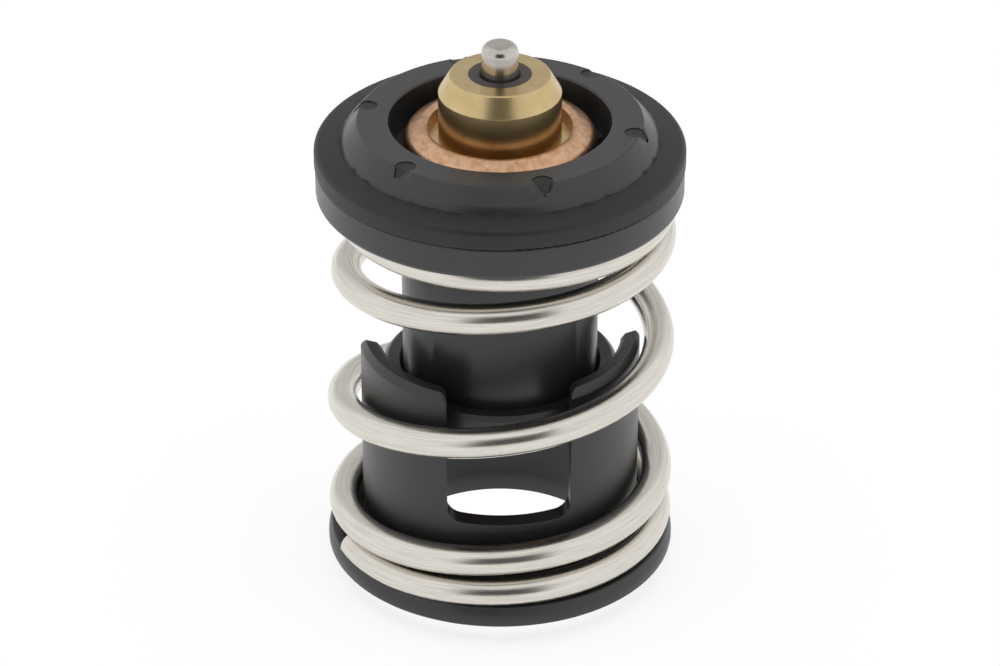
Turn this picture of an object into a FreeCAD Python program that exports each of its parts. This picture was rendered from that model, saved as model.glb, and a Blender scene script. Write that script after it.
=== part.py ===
import FreeCAD, Part
import math
import os

import Sketcher

# Engine coolant regulator insert with a sliding valve: millimetres, +Z up, origin at the
# middle of the base underside. The narrow slot of the cage faces -Y.

doc = FreeCAD.newDocument("CoolantRegulator")
dims = doc.addObject("Spreadsheet::Sheet", "Dims")

# Every independent size once, as a number. The sizes that follow from others are formulas,
# so a changed size carries the pieces fitted to it along. Heights count from the base.
SIZES = [
    ("slide_gap", 0.08, "radial clearance of the tube in the guide collar"),
    ("pin_gap", 0.03, "radial clearance of the pin in its guide, ring and boot"),
    ("fill_gap", 0.02, "clearance between packed pieces inside the element"),
    ("edge_round", 0.4, "rounding of the flange and spigot"),
    ("fine_round", 0.25, "rounding of the fine edges"),
    ("plate_round", 0.6, "rounding under the valve disc"),
    ("edge_bevel", 0.3, "small bevels"),
    # Radii, from the pin outwards.
    ("pin_radius", 1.99, "working pin"),
    ("pin_end_radius", "=pin_radius * 0.6", "inner end of the working pin"),
    ("boot_wall", 2.38, "wall of the rubber boot"),
    ("boot_radius", "=pin_radius + pin_gap + boot_wall", "outside of the boot sleeve"),
    ("wiper_width", 1.38, "width of the ring round the pin"),
    ("wiper_radius", "=pin_radius + pin_gap + wiper_width", "outside of that ring"),
    ("guide_top_land", 2.0, "flat ring on top of the pin guide"),
    ("guide_top_radius", "=wiper_radius + guide_top_land", "flat top of the pin guide"),
    ("guide_bevel_width", 1.25, "width of the bevel of the pin guide"),
    ("guide_radius", "=guide_top_radius + guide_bevel_width", "cylinder of the pin guide"),
    ("lip_gap", 1.45, "width of the groove between the guide and the crimped lip"),
    ("cup_lip_radius", "=guide_radius + lip_gap", "inner edge of the crimped lip"),
    ("lip_width", 1.2, "width of the crimped lip over the clamped shoulder"),
    ("guide_shoulder", "=cup_lip_radius + lip_width", "clamped shoulder of the pin guide"),
    ("collar_wall", 1.15, "wall of the cup collar"),
    ("cup_collar_radius", "=guide_shoulder + collar_wall", "outside of the cup collar"),
    ("cup_step", 0.95, "step from the cup collar to the cup"),
    ("cup_radius", "=cup_collar_radius - cup_step", "outside of the element cup"),
    ("cup_wall", 0.8, "wall of the element cup"),
    ("tube_wall", 1.28, "wall of the valve tube"),
    ("tube_radius", "=cup_radius + fill_gap + tube_wall", "outside of the valve tube"),
    ("collar_width", 2.12, "width of the guide collar"),
    ("collar_rim", "=tube_radius + slide_gap + collar_width", "outside of the guide collar"),
    ("land_overlap", 0.4, "how far the collar runs into the wall"),
    ("wall_bore", "=collar_rim + land_overlap", "inside of the cage wall below the collar"),
    ("bore_step", 0.6, "step from the wall to the thinner prongs"),
    ("prong_bore", "=wall_bore + bore_step", "inside of the three prongs"),
    ("prong_wall", 1.5, "wall of the prongs"),
    ("wall_radius", "=prong_bore + prong_wall", "outside of the cage wall"),
    ("base_lip", 1.0, "how far the base reaches in under the wall"),
    ("base_bore", "=wall_bore - base_lip", "opening in the base"),
    ("spigot_wall", 2.4, "wall of the locating spigot"),
    ("spigot_radius", "=base_bore + spigot_wall", "outside of the locating spigot"),
    ("wire_diameter", 3.1, "spring wire"),
    ("coil_room", 0.7, "room between the cage wall and the lowest coil"),
    ("coil_foot_radius", "=wall_radius + coil_room + wire_diameter / 2", "lowest coil, mean"),
    ("coil_draw", 0.35, "how much narrower the uppermost coil is"),
    ("coil_top_radius", "=coil_foot_radius - coil_draw", "uppermost coil, mean"),
    ("flange_rim", 0.2, "how far the flange stands out from under the lowest coil"),
    ("flange_radius", "=coil_foot_radius + wire_diameter / 2 + flange_rim", "spring flange"),
    ("plate_rim", 0.5, "how much wider than the flange the disc is"),
    ("disc_radius", "=flange_radius + plate_rim", "lower plate of the valve disc"),
    ("seal_bulge", 0.1, "how far the seal stands out of the plate"),
    ("seal_radius", "=disc_radius + seal_bulge", "outside of the moulded seal"),
    ("well_room", 1.55, "gap between the element and the opening in the disc"),
    ("well_radius", "=cup_collar_radius + well_room", "opening in the disc"),
    ("top_ring", 3.4, "width of the flat top ring"),
    ("cone_top_radius", "=well_radius + top_ring", "outer edge of the flat top ring"),
    ("cone_width", 1.95, "width of the conical face"),
    ("cone_foot_radius", "=cone_top_radius + cone_width", "foot of the conical face"),
    ("cone_lip", 0.35, "how far the cone foot overhangs the seal groove"),
    ("seal_root", "=cone_foot_radius - cone_lip", "root of the seal groove"),
    ("gate_radius", 1.18, "moulding gate of the seal"),
    ("gate_inset", 0.7, "how far the gates stand in from the edge of the top ring"),
    ("gate_ring", "=cone_top_radius - gate_inset", "distance of the gates from the axis"),
    ("gate_angle", 13.5, "first gate from the front, degrees"),
    ("runner_radius", 0.8, "runner from a gate to the seal"),
    # Slots and hooks.
    ("front_half", 6.75, "half width of the narrow slot"),
    ("back_half", 8.2, "half width of the two wide slots"),
    ("slot_corner", 1.5, "corner radius at the foot of a slot"),
    ("prong_bevel", 0.6, "bevel at the ends of the prong tops"),
    ("hook_reach", 1.3, "how far a snap hook stands out of the tube"),
    ("hook_angle", 24, "width of a snap hook around the tube"),
    ("hook_land", 0.6, "upright edge of a snap hook"),
    ("hook_play", 0.05, "play between the hooks and the collar"),
    ("slit_width", 1.2, "relief slit beside each hook"),
    ("slit_height", 5.0, "height of the relief slits"),
    ("slit_offset", 2.9, "distance of a relief slit from the middle of its hook"),
    # Heights, from the base up.
    ("spigot_length", 2.3, "height of the locating spigot"),
    ("flange_thickness", 2.35, "thickness of the spring flange"),
    ("flange_top", "=spigot_length + flange_thickness", "seat of the spring"),
    ("foot_wall", 8.55, "closed wall above the flange"),
    ("slot_foot", "=flange_top + foot_wall", "lower edge of the slots"),
    ("window_height", 8.7, "open height of the slots below the collar"),
    ("collar_foot", "=slot_foot + window_height", "underside of the guide collar"),
    ("collar_height", 3.45, "height of the guide collar"),
    ("collar_top", "=collar_foot + collar_height", "upper face of the guide collar"),
    ("prong_reach", 3.75, "how far the prongs stand above the collar"),
    ("prong_height", "=collar_top + prong_reach", "top of the prongs"),
    ("hook_height", 2.4, "how far the tube reaches below the collar"),
    ("tube_foot", "=collar_foot - hook_height", "foot of the valve tube"),
    ("valve_lift", 17.5, "height of the disc above the prongs"),
    ("disc_foot", "=prong_height + valve_lift", "underside of the valve disc"),
    ("plate_height", 3.2, "height of the lower plate"),
    ("plate_top", "=disc_foot + plate_height", "upper face of the lower plate"),
    ("seal_side", 2.6, "height of the side of the seal before its rounding"),
    ("seal_edge", "=plate_top + seal_side", "upper edge of the seal"),
    ("seal_round", 0.8, "rounding of the upper edge of the seal"),
    ("seal_rise", 0.5, "rise of the seal to the foot of the conical face"),
    ("cone_foot", "=seal_edge + seal_rise", "foot of the conical face"),
    ("cone_height", 2.3, "height of the conical face"),
    ("disc_top", "=cone_foot + cone_height", "flat top ring of the disc"),
    ("well_depth", 4.2, "depth of the well round the element"),
    ("well_floor", "=disc_top - well_depth", "ledge around the element"),
    ("gate_depth", 4.6, "depth of a gate below the flat top ring"),
    ("gate_foot", "=disc_top - gate_depth", "lower end of a gate"),
    ("gate_sink", 0.18, "depth of the gate plug below the disc face"),
    ("runner_height", "=gate_foot + runner_radius + fill_gap * 5", "height of the runners"),
    ("cup_seat_depth", 2.0, "depth of the seat of the cup collar below the well"),
    ("cup_collar_foot", "=well_floor - cup_seat_depth", "underside of the cup collar"),
    ("lip_drop", 0.45, "crest of the crimped lip below the flat top ring"),
    ("cup_lip_height", "=disc_top - lip_drop", "crest of the crimped lip"),
    ("lip_inset", 0.55, "how far the lip runs in towards the guide at its foot"),
    ("cup_lip_slope", 0.95, "fall of the crimped lip towards its outside"),
    ("lip_thickness", 1.65, "height of the crimped lip over the clamped shoulder"),
    ("guide_shoulder_top", "=cup_lip_height - lip_thickness", "top of the clamped shoulder"),
    ("guide_side", 5.4, "height of the cylinder of the pin guide"),
    ("guide_bevel_foot", "=guide_shoulder_top + guide_side", "foot of the guide's bevel"),
    ("guide_bevel", 2.1, "height of the bevel of the pin guide"),
    ("guide_top", "=guide_bevel_foot + guide_bevel", "height of the pin guide"),
    ("wiper_height", 2.4, "height of the ring round the pin"),
    ("pin_reach", 3.6, "how far the pin stands out of its guide"),
    ("pin_top", "=guide_top + pin_reach", "tip of the working pin"),
    ("pin_round", 1.0, "rounding of the tip"),
    ("cup_depth", 25.0, "length of the element cup below its collar"),
    ("cup_foot", "=cup_collar_foot - cup_depth", "closed end of the element cup"),
    ("cup_corner", 1.5, "rounding of the closed end of the cup"),
    ("cup_floor", "=cup_foot + cup_wall", "inside of the closed end"),
    ("cup_ledge", "=cup_collar_foot + cup_wall", "ledge that the boot flange lies on"),
    ("boot_flange", 1.2, "thickness of the clamped boot flange"),
    ("boot_top", "=cup_ledge + boot_flange", "upper face of the boot flange"),
    ("wax_depth", 3.7, "wax below the closed end of the boot"),
    ("boot_foot", "=cup_floor + wax_depth", "closed end of the boot"),
    ("boot_end", 2.5, "thickness of the closed end of the boot"),
    ("pin_foot", "=boot_foot + boot_end", "inner end of the working pin"),
    ("pin_taper", 5.0, "length of the tapered inner end"),
    ("chafing_height", 1.0, "height of the backing ring under the guide"),
    # Spring.
    ("coil_turns", 4.4, "number of turns"),
    ("coil_start", -72, "direction of the lower wire end from the front, degrees"),
    ("closed_pitch", "=wire_diameter * 1.016", "rise of a closed turn"),
    ("ground_depth", "=wire_diameter * 0.34", "wire ground away at each end"),
    ("ease_turns", 0.944, "turns over which the pitch opens and closes"),
    ("opening_turn", 1.24, "turn at which the pitch is half open"),
    ("closing_turn", 3.26, "turn at which the pitch is half closed"),
]
for row, (alias, value, meaning) in enumerate(SIZES, start=1):
    dims.set("A%d" % row, meaning)
    dims.set("B%d" % row, str(value))
    dims.setAlias("B%d" % row, alias)
doc.recompute()
NAMES = {alias for alias, _value, _meaning in SIZES}


def expand(text):
    """Put the sheet's name before every size named in an expression."""
    words = []
    word = ""
    for letter in text + " ":
        if letter.isalnum() or letter == "_":
            word += letter
            continue
        words.append("Dims." + word if word in NAMES else word)
        words.append(letter)
        word = ""
    return "".join(words).strip()


def size(text):
    """Value of an expression in the named sizes."""
    result = dims.evalExpression(expand(text))
    return float(getattr(result, "Value", result))


def datum_of(body, role):
    """The body's own origin plane or axis with the given role."""
    for feature in body.Origin.OriginFeatures:
        if feature.Role == role:
            return feature
    raise ValueError(role)


def make_body(name):
    return doc.addObject("PartDesign::Body", name)


def make_sketch(body, name, role, turn="0", lift="0"):
    """Sketch on an origin plane, turned about the plane's upright and then lifted."""
    sketch = body.newObject("Sketcher::SketchObject", name)
    sketch.AttachmentSupport = [(datum_of(body, role), "")]
    sketch.MapMode = "FlatFace"
    rotation = FreeCAD.Rotation(FreeCAD.Vector(0, 1, 0), size(turn))
    sketch.AttachmentOffset = FreeCAD.Placement(FreeCAD.Vector(0, 0, 0), rotation)
    if lift != "0":
        across = expand("(%s) * sin(%s)" % (lift, turn))
        outward = expand("(%s) * cos(%s)" % (lift, turn))
        sketch.setExpression("AttachmentOffset.Base.x", across)
        sketch.setExpression("AttachmentOffset.Base.z", outward)
    return sketch


def pin_point(sketch, line, vertex, across, up):
    """Tie a point of a line or circle to the sketch origin by two named sizes."""
    for kind, text, axis in (("DistanceX", across, -2), ("DistanceY", up, -1)):
        if abs(size(text)) < 1e-9:
            tie = Sketcher.Constraint("PointOnObject", line, vertex, axis)
            sketch.addConstraint(tie)
        else:
            tie = Sketcher.Constraint(kind, -1, 1, line, vertex, size(text))
            index = sketch.addConstraint(tie)
            sketch.setExpression("Constraints[%d]" % index, expand(text))


def bend(start, end, radius):
    """Arc that turns to the left on its way from one point to another."""
    chord = end - start
    offset = math.sqrt(radius ** 2 - (chord.Length / 2.0) ** 2)
    side = FreeCAD.Vector(-chord.y, chord.x, 0).normalize()
    centre = (start + end) * 0.5 + side * offset
    first = math.atan2(start.y - centre.y, start.x - centre.x)
    last = math.atan2(end.y - centre.y, end.x - centre.x)
    circle = Part.Circle(centre, FreeCAD.Vector(0, 0, 1), radius)
    return Part.ArcOfCircle(circle, first, last)


def draw_outline(sketch, points):
    """Closed outline through points given as pairs of expressions.

    A point with a third expression starts a bend of that radius to the next point,
    the others start a straight line.
    """
    spots = [FreeCAD.Vector(size(point[0]), size(point[1]), 0) for point in points]
    first = sketch.GeometryCount
    for index, point in enumerate(points):
        start = spots[index]
        end = spots[(index + 1) % len(spots)]
        if len(point) == 3:
            sketch.addGeometry(bend(start, end, size(point[2])), False)
        else:
            sketch.addGeometry(Part.LineSegment(start, end), False)
    for index in range(len(spots)):
        following = first + (index + 1) % len(spots)
        join = Sketcher.Constraint("Coincident", first + index, 2, following, 1)
        sketch.addConstraint(join)
    for index, point in enumerate(points):
        pin_point(sketch, first + index, 1, point[0], point[1])
        if len(point) == 3:
            tie = Sketcher.Constraint("Radius", first + index, size(point[2]))
            number = sketch.addConstraint(tie)
            sketch.setExpression("Constraints[%d]" % number, expand(point[2]))


def draw_circle(sketch, across, up, radius):
    """Circle with its centre and radius given as expressions."""
    centre = FreeCAD.Vector(size(across), size(up), 0)
    circle = Part.Circle(centre, FreeCAD.Vector(0, 0, 1), size(radius))
    line = sketch.addGeometry(circle, False)
    pin_point(sketch, line, 3, across, up)
    index = sketch.addConstraint(Sketcher.Constraint("Radius", line, size(radius)))
    sketch.setExpression("Constraints[%d]" % index, expand(radius))


def finish_feature(body, feature):
    """Make a feature the tip of its body and check it."""
    body.Tip = feature
    doc.recompute()
    if not feature.isValid() or body.Shape.isNull():
        raise ValueError(feature.Name)
    return feature


def revolve(body, name, points, role="XZ_Plane", angle="360", kind="Revolution"):
    """Turn an outline about the vertical, all round or an angle shared to both sides."""
    sketch = make_sketch(body, name + "Outline", role)
    draw_outline(sketch, points)
    feature = body.newObject("PartDesign::" + kind, name)
    feature.Profile = sketch
    feature.ReferenceAxis = (sketch, ["V_Axis"])
    feature.setExpression("Angle", expand(angle))
    feature.Midplane = angle != "360"
    return finish_feature(body, feature)


def extrude(body, kind, name, sketch, length, reverse=False):
    """Pad or pocket of a sketch; it has to add or remove something."""
    before = body.Shape.Volume
    feature = body.newObject("PartDesign::" + kind, name)
    feature.Profile = sketch
    feature.setExpression("Length", expand(length))
    feature.Reversed = reverse
    finish_feature(body, feature)
    change = body.Shape.Volume - before
    if (change > 0) != (kind == "Pad") or abs(change) < 1e-3:
        raise ValueError(name)
    return feature


def ring_pattern(body, name, feature, count):
    """Repeat a feature evenly round the vertical axis."""
    pattern = body.newObject("PartDesign::PolarPattern", name)
    pattern.Originals = [feature]
    pattern.Axis = (datum_of(body, "Z_Axis"), [""])
    pattern.Angle = 360
    pattern.Occurrences = count
    return finish_feature(body, pattern)


def fillet_edges(body, name, edges, radius):
    """Round named edges of the body's tip."""
    if not edges:
        raise ValueError("no edge for " + name)
    base = body.Tip
    feature = body.newObject("PartDesign::Fillet", name)
    feature.Base = (base, edges)
    feature.setExpression("Radius", expand(radius))
    return finish_feature(body, feature)


def round_rings(body, name, rings, radius):
    """Round the edges that lie on circles about the axis, given by radius and height."""
    edges = []
    for number, edge in enumerate(body.Tip.Shape.Edges, start=1):
        curve = edge.Curve
        if not isinstance(curve, Part.Circle) or abs(curve.Axis.z) < 0.999:
            continue
        centred = math.hypot(curve.Center.x, curve.Center.y) < 1e-4
        for ring_radius, height in rings:
            same_radius = abs(curve.Radius - size(ring_radius)) < 1e-3
            same_height = abs(curve.Center.z - size(height)) < 1e-3
            if centred and same_radius and same_height:
                edges.append("Edge%d" % number)
    return fillet_edges(body, name, edges, radius)


# Cage: flange, slotted wall with three prongs and the guide collar, one moulding.
COLLAR_BORE = "tube_radius + slide_gap"

cage = make_body("Cage")
revolve(cage, "CageWall", [
    ("base_bore", "0"),
    ("spigot_radius", "0"),
    ("spigot_radius", "spigot_length"),
    ("flange_radius", "spigot_length"),
    ("flange_radius", "flange_top"),
    ("wall_radius", "flange_top"),
    ("wall_radius", "prong_height"),
    ("prong_bore", "prong_height"),
    ("prong_bore", "collar_top"),
    ("collar_rim - land_overlap", "collar_top"),
    ("collar_rim - land_overlap", "collar_foot"),
    ("wall_bore", "collar_foot - land_overlap"),
    ("wall_bore", "flange_top"),
    ("base_bore", "spigot_length"),
])


def cut_slot(name, turn, half):
    """Upright slot from the prong tops to the slot foot, on one side of the axis."""
    sketch = make_sketch(cage, name + "Outline", "XZ_Plane", turn)
    outer = half + " + prong_bevel"
    inner = half + " - slot_corner"
    draw_outline(sketch, [
        ("-(" + inner + ")", "slot_foot"),
        (inner, "slot_foot", "slot_corner"),
        (half, "slot_foot + slot_corner"),
        (half, "prong_height - prong_bevel"),
        (outer, "prong_height"),
        (outer, "prong_height + flange_thickness"),
        ("-(" + outer + ")", "prong_height + flange_thickness"),
        ("-(" + outer + ")", "prong_height"),
        ("-(" + half + ")", "prong_height - prong_bevel"),
        ("-(" + half + ")", "slot_foot + slot_corner", "slot_corner"),
    ])
    extrude(cage, "Pocket", name, sketch, "flange_radius", reverse=True)


cut_slot("FrontSlot", "0", "front_half")
cut_slot("RightSlot", "120", "back_half")
cut_slot("LeftSlot", "-120", "back_half")

revolve(cage, "GuideCollar", [
    (COLLAR_BORE, "collar_foot + edge_bevel"),
    (COLLAR_BORE + " + edge_bevel", "collar_foot"),
    ("collar_rim", "collar_foot"),
    ("collar_rim", "collar_top - edge_bevel"),
    ("collar_rim - edge_bevel", "collar_top"),
    (COLLAR_BORE + " + edge_bevel", "collar_top"),
    (COLLAR_BORE, "collar_top - edge_bevel"),
])
round_rings(cage, "FlangeRounds", [
    ("flange_radius", "spigot_length"),
    ("flange_radius", "flange_top"),
    ("spigot_radius", "0"),
    ("wall_radius", "flange_top"),
], "edge_round")
round_rings(cage, "ProngRounds", [
    ("wall_radius", "prong_height"),
    ("prong_bore", "prong_height"),
], "fine_round")

# Valve body: disc with the seal groove and the sliding tube with its snap hooks.
CUP_BORE = "cup_radius + fill_gap"
COLLAR_SEAT = "cup_collar_radius + fill_gap"
HOOK_TOP = "collar_foot - hook_play"

valve = make_body("ValveBody")
revolve(valve, "DiscAndTube", [
    (CUP_BORE, "tube_foot"),
    ("tube_radius", "tube_foot"),
    ("tube_radius", "disc_foot"),
    ("disc_radius", "disc_foot"),
    ("disc_radius", "plate_top"),
    ("seal_root", "plate_top"),
    ("seal_root", "cone_foot - edge_bevel"),
    ("cone_foot_radius", "cone_foot"),
    ("cone_top_radius", "disc_top"),
    ("well_radius", "disc_top"),
    ("well_radius", "well_floor"),
    (COLLAR_SEAT, "well_floor"),
    (COLLAR_SEAT, "cup_collar_foot"),
    (CUP_BORE, "cup_collar_foot"),
])
round_rings(valve, "PlateRounds", [
    ("disc_radius", "disc_foot"),
    ("tube_radius", "disc_foot"),
], "plate_round")
round_rings(valve, "TopRounds", [
    ("disc_radius", "plate_top"),
    ("cone_top_radius", "disc_top"),
    ("well_radius", "disc_top"),
], "fine_round")

hook = revolve(valve, "SnapHook", [
    ("tube_radius - edge_bevel", "tube_foot"),
    ("tube_radius + edge_bevel", "tube_foot"),
    ("tube_radius + hook_reach", HOOK_TOP + " - hook_land"),
    ("tube_radius + hook_reach", HOOK_TOP),
    ("tube_radius - edge_bevel", HOOK_TOP),
], role="YZ_Plane", angle="hook_angle")
ring_pattern(valve, "SnapHooks", hook, 3)

slit_outline = make_sketch(valve, "ReliefSlitOutline", "XZ_Plane")
for side in ("", "-"):
    draw_outline(slit_outline, [
        (side + "slit_offset", "tube_foot - slit_width"),
        (side + "(slit_offset + slit_width)", "tube_foot - slit_width"),
        (side + "(slit_offset + slit_width)", "tube_foot + slit_height"),
        (side + "slit_offset", "tube_foot + slit_height"),
    ])
slits = extrude(valve, "Pocket", "ReliefSlits", slit_outline, "wall_bore")
ring_pattern(valve, "AllReliefSlits", slits, 3)

GATE_LENGTH = "gate_depth"
RUNNER_LENGTH = "seal_root - gate_ring"


def gate_sketch(body, name, height):
    """Level circle of a seal gate at a given height."""
    sketch = make_sketch(body, name, "XY_Plane", lift=height)
    across = "gate_ring * sin(gate_angle)"
    draw_circle(sketch, across, "-gate_ring * cos(gate_angle)", "gate_radius")
    return sketch


def runner_sketch(body, name):
    """Upright circle of a seal runner, facing out from the middle of its gate."""
    sketch = make_sketch(body, name, "XZ_Plane", turn="gate_angle", lift="gate_ring")
    draw_circle(sketch, "0", "runner_height", "runner_radius")
    return sketch


gate_hole = gate_sketch(valve, "GateHole", "disc_top")
gate_cut = extrude(valve, "Pocket", "GatePocket", gate_hole, GATE_LENGTH)
ring_pattern(valve, "GatePockets", gate_cut, 6)
runner_hole = runner_sketch(valve, "RunnerHole")
runner_cut = extrude(valve, "Pocket", "RunnerPocket", runner_hole, RUNNER_LENGTH, reverse=True)
ring_pattern(valve, "RunnerPockets", runner_cut, 6)

# Seal moulded on the rim, fed through six gates that end just below the disc face.
CONE_FALL = "(disc_top - cone_foot) / (cone_foot_radius - cone_top_radius)"

seal = make_body("RimSeal")
revolve(seal, "SealRing", [
    ("seal_root", "plate_top"),
    ("seal_radius", "plate_top"),
    ("seal_radius", "seal_edge"),
    ("cone_foot_radius", "cone_foot"),
    ("seal_root", "cone_foot - edge_bevel"),
])
round_rings(seal, "SealShoulder", [("seal_radius", "seal_edge")], "seal_round")
round_rings(seal, "SealHeel", [("seal_radius", "plate_top")], "fine_round")
runner_core = runner_sketch(seal, "RunnerCore")
runner = extrude(seal, "Pad", "Runner", runner_core, RUNNER_LENGTH + " + edge_bevel")
ring_pattern(seal, "Runners", runner, 6)
gate_core = gate_sketch(seal, "GateCore", "gate_foot")
gate_plug = extrude(seal, "Pad", "GatePlug", gate_core, GATE_LENGTH)
ring_pattern(seal, "GatePlugs", gate_plug, 6)
revolve(seal, "GateTrim", [
    ("well_radius", "disc_top - gate_sink"),
    ("cone_top_radius", "disc_top - gate_sink"),
    ("seal_root", "disc_top - gate_sink - (seal_root - cone_top_radius) * " + CONE_FALL),
    ("seal_root", "disc_top + gate_sink"),
    ("well_radius", "disc_top + gate_sink"),
], kind="Groove")

# Wax element: crimped cup, wax, boot, backing ring, guide, ring and pin.
CUP_INSIDE = "cup_radius - cup_wall"
LIP_OUTSIDE = "cup_lip_height - cup_lip_slope"
PIN_BORE = "pin_radius + pin_gap"
TAPER_TOP = "pin_foot + pin_taper"
RING_SEAT = "wiper_radius + fill_gap"
RING_FOOT = "guide_top - wiper_height"
CHAFING_TOP = "boot_top + chafing_height"

cup = make_body("ElementCup")
revolve(cup, "CupWall", [
    ("0", "cup_foot"),
    ("cup_radius", "cup_foot"),
    ("cup_radius", "cup_collar_foot"),
    ("cup_collar_radius", "cup_collar_foot"),
    ("cup_collar_radius", LIP_OUTSIDE),
    ("cup_lip_radius", "cup_lip_height"),
    ("cup_lip_radius - edge_bevel", "cup_lip_height - edge_bevel"),
    ("cup_lip_radius - lip_inset", "guide_shoulder_top"),
    ("guide_shoulder", "guide_shoulder_top"),
    ("guide_shoulder", "cup_ledge"),
    (CUP_INSIDE, "cup_ledge"),
    (CUP_INSIDE, "cup_floor"),
    ("0", "cup_floor"),
])
round_rings(cup, "CupCorner", [("cup_radius", "cup_foot")], "cup_corner")
round_rings(cup, "CupInnerCorner", [(CUP_INSIDE, "cup_floor")], "cup_corner - cup_wall")
round_rings(cup, "LipShoulder", [("cup_collar_radius", LIP_OUTSIDE)], "cup_wall")

wax = make_body("WaxCharge")
revolve(wax, "WaxFilling", [
    ("0", "cup_floor + fill_gap"),
    (CUP_INSIDE + " - fill_gap", "cup_floor + fill_gap"),
    (CUP_INSIDE + " - fill_gap", "cup_ledge - fill_gap"),
    ("boot_radius + fill_gap", "cup_ledge - fill_gap"),
    ("boot_radius + fill_gap", "boot_foot - fill_gap"),
    ("0", "boot_foot - fill_gap"),
])
wax_corner = [(CUP_INSIDE + " - fill_gap", "cup_floor + fill_gap")]
round_rings(wax, "WaxCorner", wax_corner, "cup_corner - cup_wall")

boot = make_body("RubberBoot")
revolve(boot, "BootSleeve", [
    ("0", "boot_foot"),
    ("boot_radius", "boot_foot"),
    ("boot_radius", "cup_ledge"),
    ("guide_shoulder - fill_gap", "cup_ledge"),
    ("guide_shoulder - fill_gap", "boot_top"),
    (PIN_BORE, "boot_top"),
    (PIN_BORE, TAPER_TOP),
    ("pin_end_radius + pin_gap", "pin_foot - pin_gap"),
    ("0", "pin_foot - pin_gap"),
])

chafing = make_body("ChafingRing")
revolve(chafing, "ChafingWasher", [
    (PIN_BORE, "boot_top"),
    ("wiper_radius", "boot_top"),
    ("wiper_radius", CHAFING_TOP),
    (PIN_BORE, CHAFING_TOP),
])

guide = make_body("PinGuide")
revolve(guide, "GuideTurning", [
    (RING_SEAT, "boot_top"),
    ("guide_shoulder - fill_gap", "boot_top"),
    ("guide_shoulder - fill_gap", "guide_shoulder_top"),
    ("guide_radius", "guide_shoulder_top"),
    ("guide_radius", "guide_bevel_foot"),
    ("guide_top_radius", "guide_top"),
    (RING_SEAT, "guide_top"),
    (RING_SEAT, RING_FOOT),
    (PIN_BORE, RING_FOOT),
    (PIN_BORE, CHAFING_TOP),
    (RING_SEAT, CHAFING_TOP),
])
round_rings(guide, "GuideRounds", [
    ("guide_radius", "guide_bevel_foot"),
    ("guide_top_radius", "guide_top"),
], "fine_round")

wiper = make_body("WiperRing")
revolve(wiper, "WiperSection", [
    (PIN_BORE, RING_FOOT),
    ("wiper_radius", RING_FOOT),
    ("wiper_radius", "guide_top"),
    (PIN_BORE + " + edge_bevel", "guide_top"),
    (PIN_BORE, "guide_top - edge_bevel"),
])

pin = make_body("WorkingPin")
revolve(pin, "PinTurning", [
    ("0", "pin_foot"),
    ("pin_end_radius", "pin_foot"),
    ("pin_radius", TAPER_TOP),
    ("pin_radius", "pin_top"),
    ("0", "pin_top"),
])
round_rings(pin, "PinTip", [("pin_radius", "pin_top")], "pin_round")


# Spring: the pitch opens from a closed lower turn and closes again at the top, and its
# open pitch is found from the height between the flange and the valve disc.
def smooth(share):
    """Smooth step from 0 to 1."""
    share = min(1.0, max(0.0, share))
    return share * share * (3.0 - 2.0 * share)


def openness(turn):
    """How far the pitch is open at a turn counted from the lower wire end."""
    ease = size("ease_turns")
    opened = smooth((turn - size("opening_turn")) / ease + 0.5)
    closed = smooth((turn - size("closing_turn")) / ease + 0.5)
    return opened - closed


def make_spring():
    """Wire of changing pitch, ground flat at both ends."""
    steps_per_turn = 16
    turns = size("coil_turns")
    closed_pitch = size("closed_pitch")
    wire = size("wire_diameter") / 2.0
    seat = size("flange_top")
    top = size("disc_foot")
    lowest = seat + wire - size("ground_depth")
    rise = (top - wire + size("ground_depth")) - lowest
    count = int(round(turns * steps_per_turn))
    shares = [openness((step + 0.5) * turns / count) for step in range(count)]
    extra = (rise - closed_pitch * turns) / sum(shares)
    points = []
    height = lowest
    for step in range(count + 1):
        along = step / count
        foot_radius = size("coil_foot_radius")
        radius = foot_radius + (size("coil_top_radius") - foot_radius) * along
        angle = math.radians(size("coil_start") + 360.0 * turns * along)
        points.append(FreeCAD.Vector(radius * math.sin(angle), -radius * math.cos(angle), height))
        if step < count:
            height += closed_pitch * turns / count + extra * shares[step]
    curve = Part.BSplineCurve()
    curve.interpolate(points)
    path = Part.Wire([curve.toShape()])
    heading = curve.tangent(curve.FirstParameter)[0]
    circle = Part.Circle(points[0], heading, wire)
    sweep = Part.BRepOffsetAPI.MakePipeShell(path)
    sweep.setBiNormalMode(FreeCAD.Vector(0, 0, 1))
    sweep.add(Part.Wire([circle.toShape()]))
    sweep.build()
    sweep.makeSolid()
    outside = size("flange_radius") + wire
    room = Part.makeCylinder(outside, top - seat, FreeCAD.Vector(0, 0, seat))
    return Part.Solid(sweep.shape()).common(room)


spring = doc.addObject("Part::Feature", "Spring")
spring.Shape = make_spring()
doc.recompute()

NODES = {
    "cage": cage,
    "spring": spring,
    "valve_body": valve,
    "rim_seal": seal,
    "element_cup": cup,
    "wax_charge": wax,
    "rubber_boot": boot,
    "chafing_ring": chafing,
    "pin_guide": guide,
    "wiper_ring": wiper,
    "pin": pin,
}
for item in doc.Objects:
    if "Invalid" in item.State or "Error" in item.State:
        raise ValueError(item.Name)
os.makedirs("parts", exist_ok=True)
for node, item in NODES.items():
    shape = item.Shape
    if shape.isNull() or not shape.isValid() or len(shape.Solids) != 1:
        raise ValueError(node)
    shape.exportStep("parts/%s.step" % node)
    print(node, round(shape.Volume, 1), len(shape.Faces))
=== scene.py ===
"""Visible model of a coolant thermostat insert: its finer shapes and the looks of every piece.

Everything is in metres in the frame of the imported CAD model, +Z up, with the narrow slot of
the cage facing -Y. The camera stands where the photograph was taken from.
"""

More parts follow.
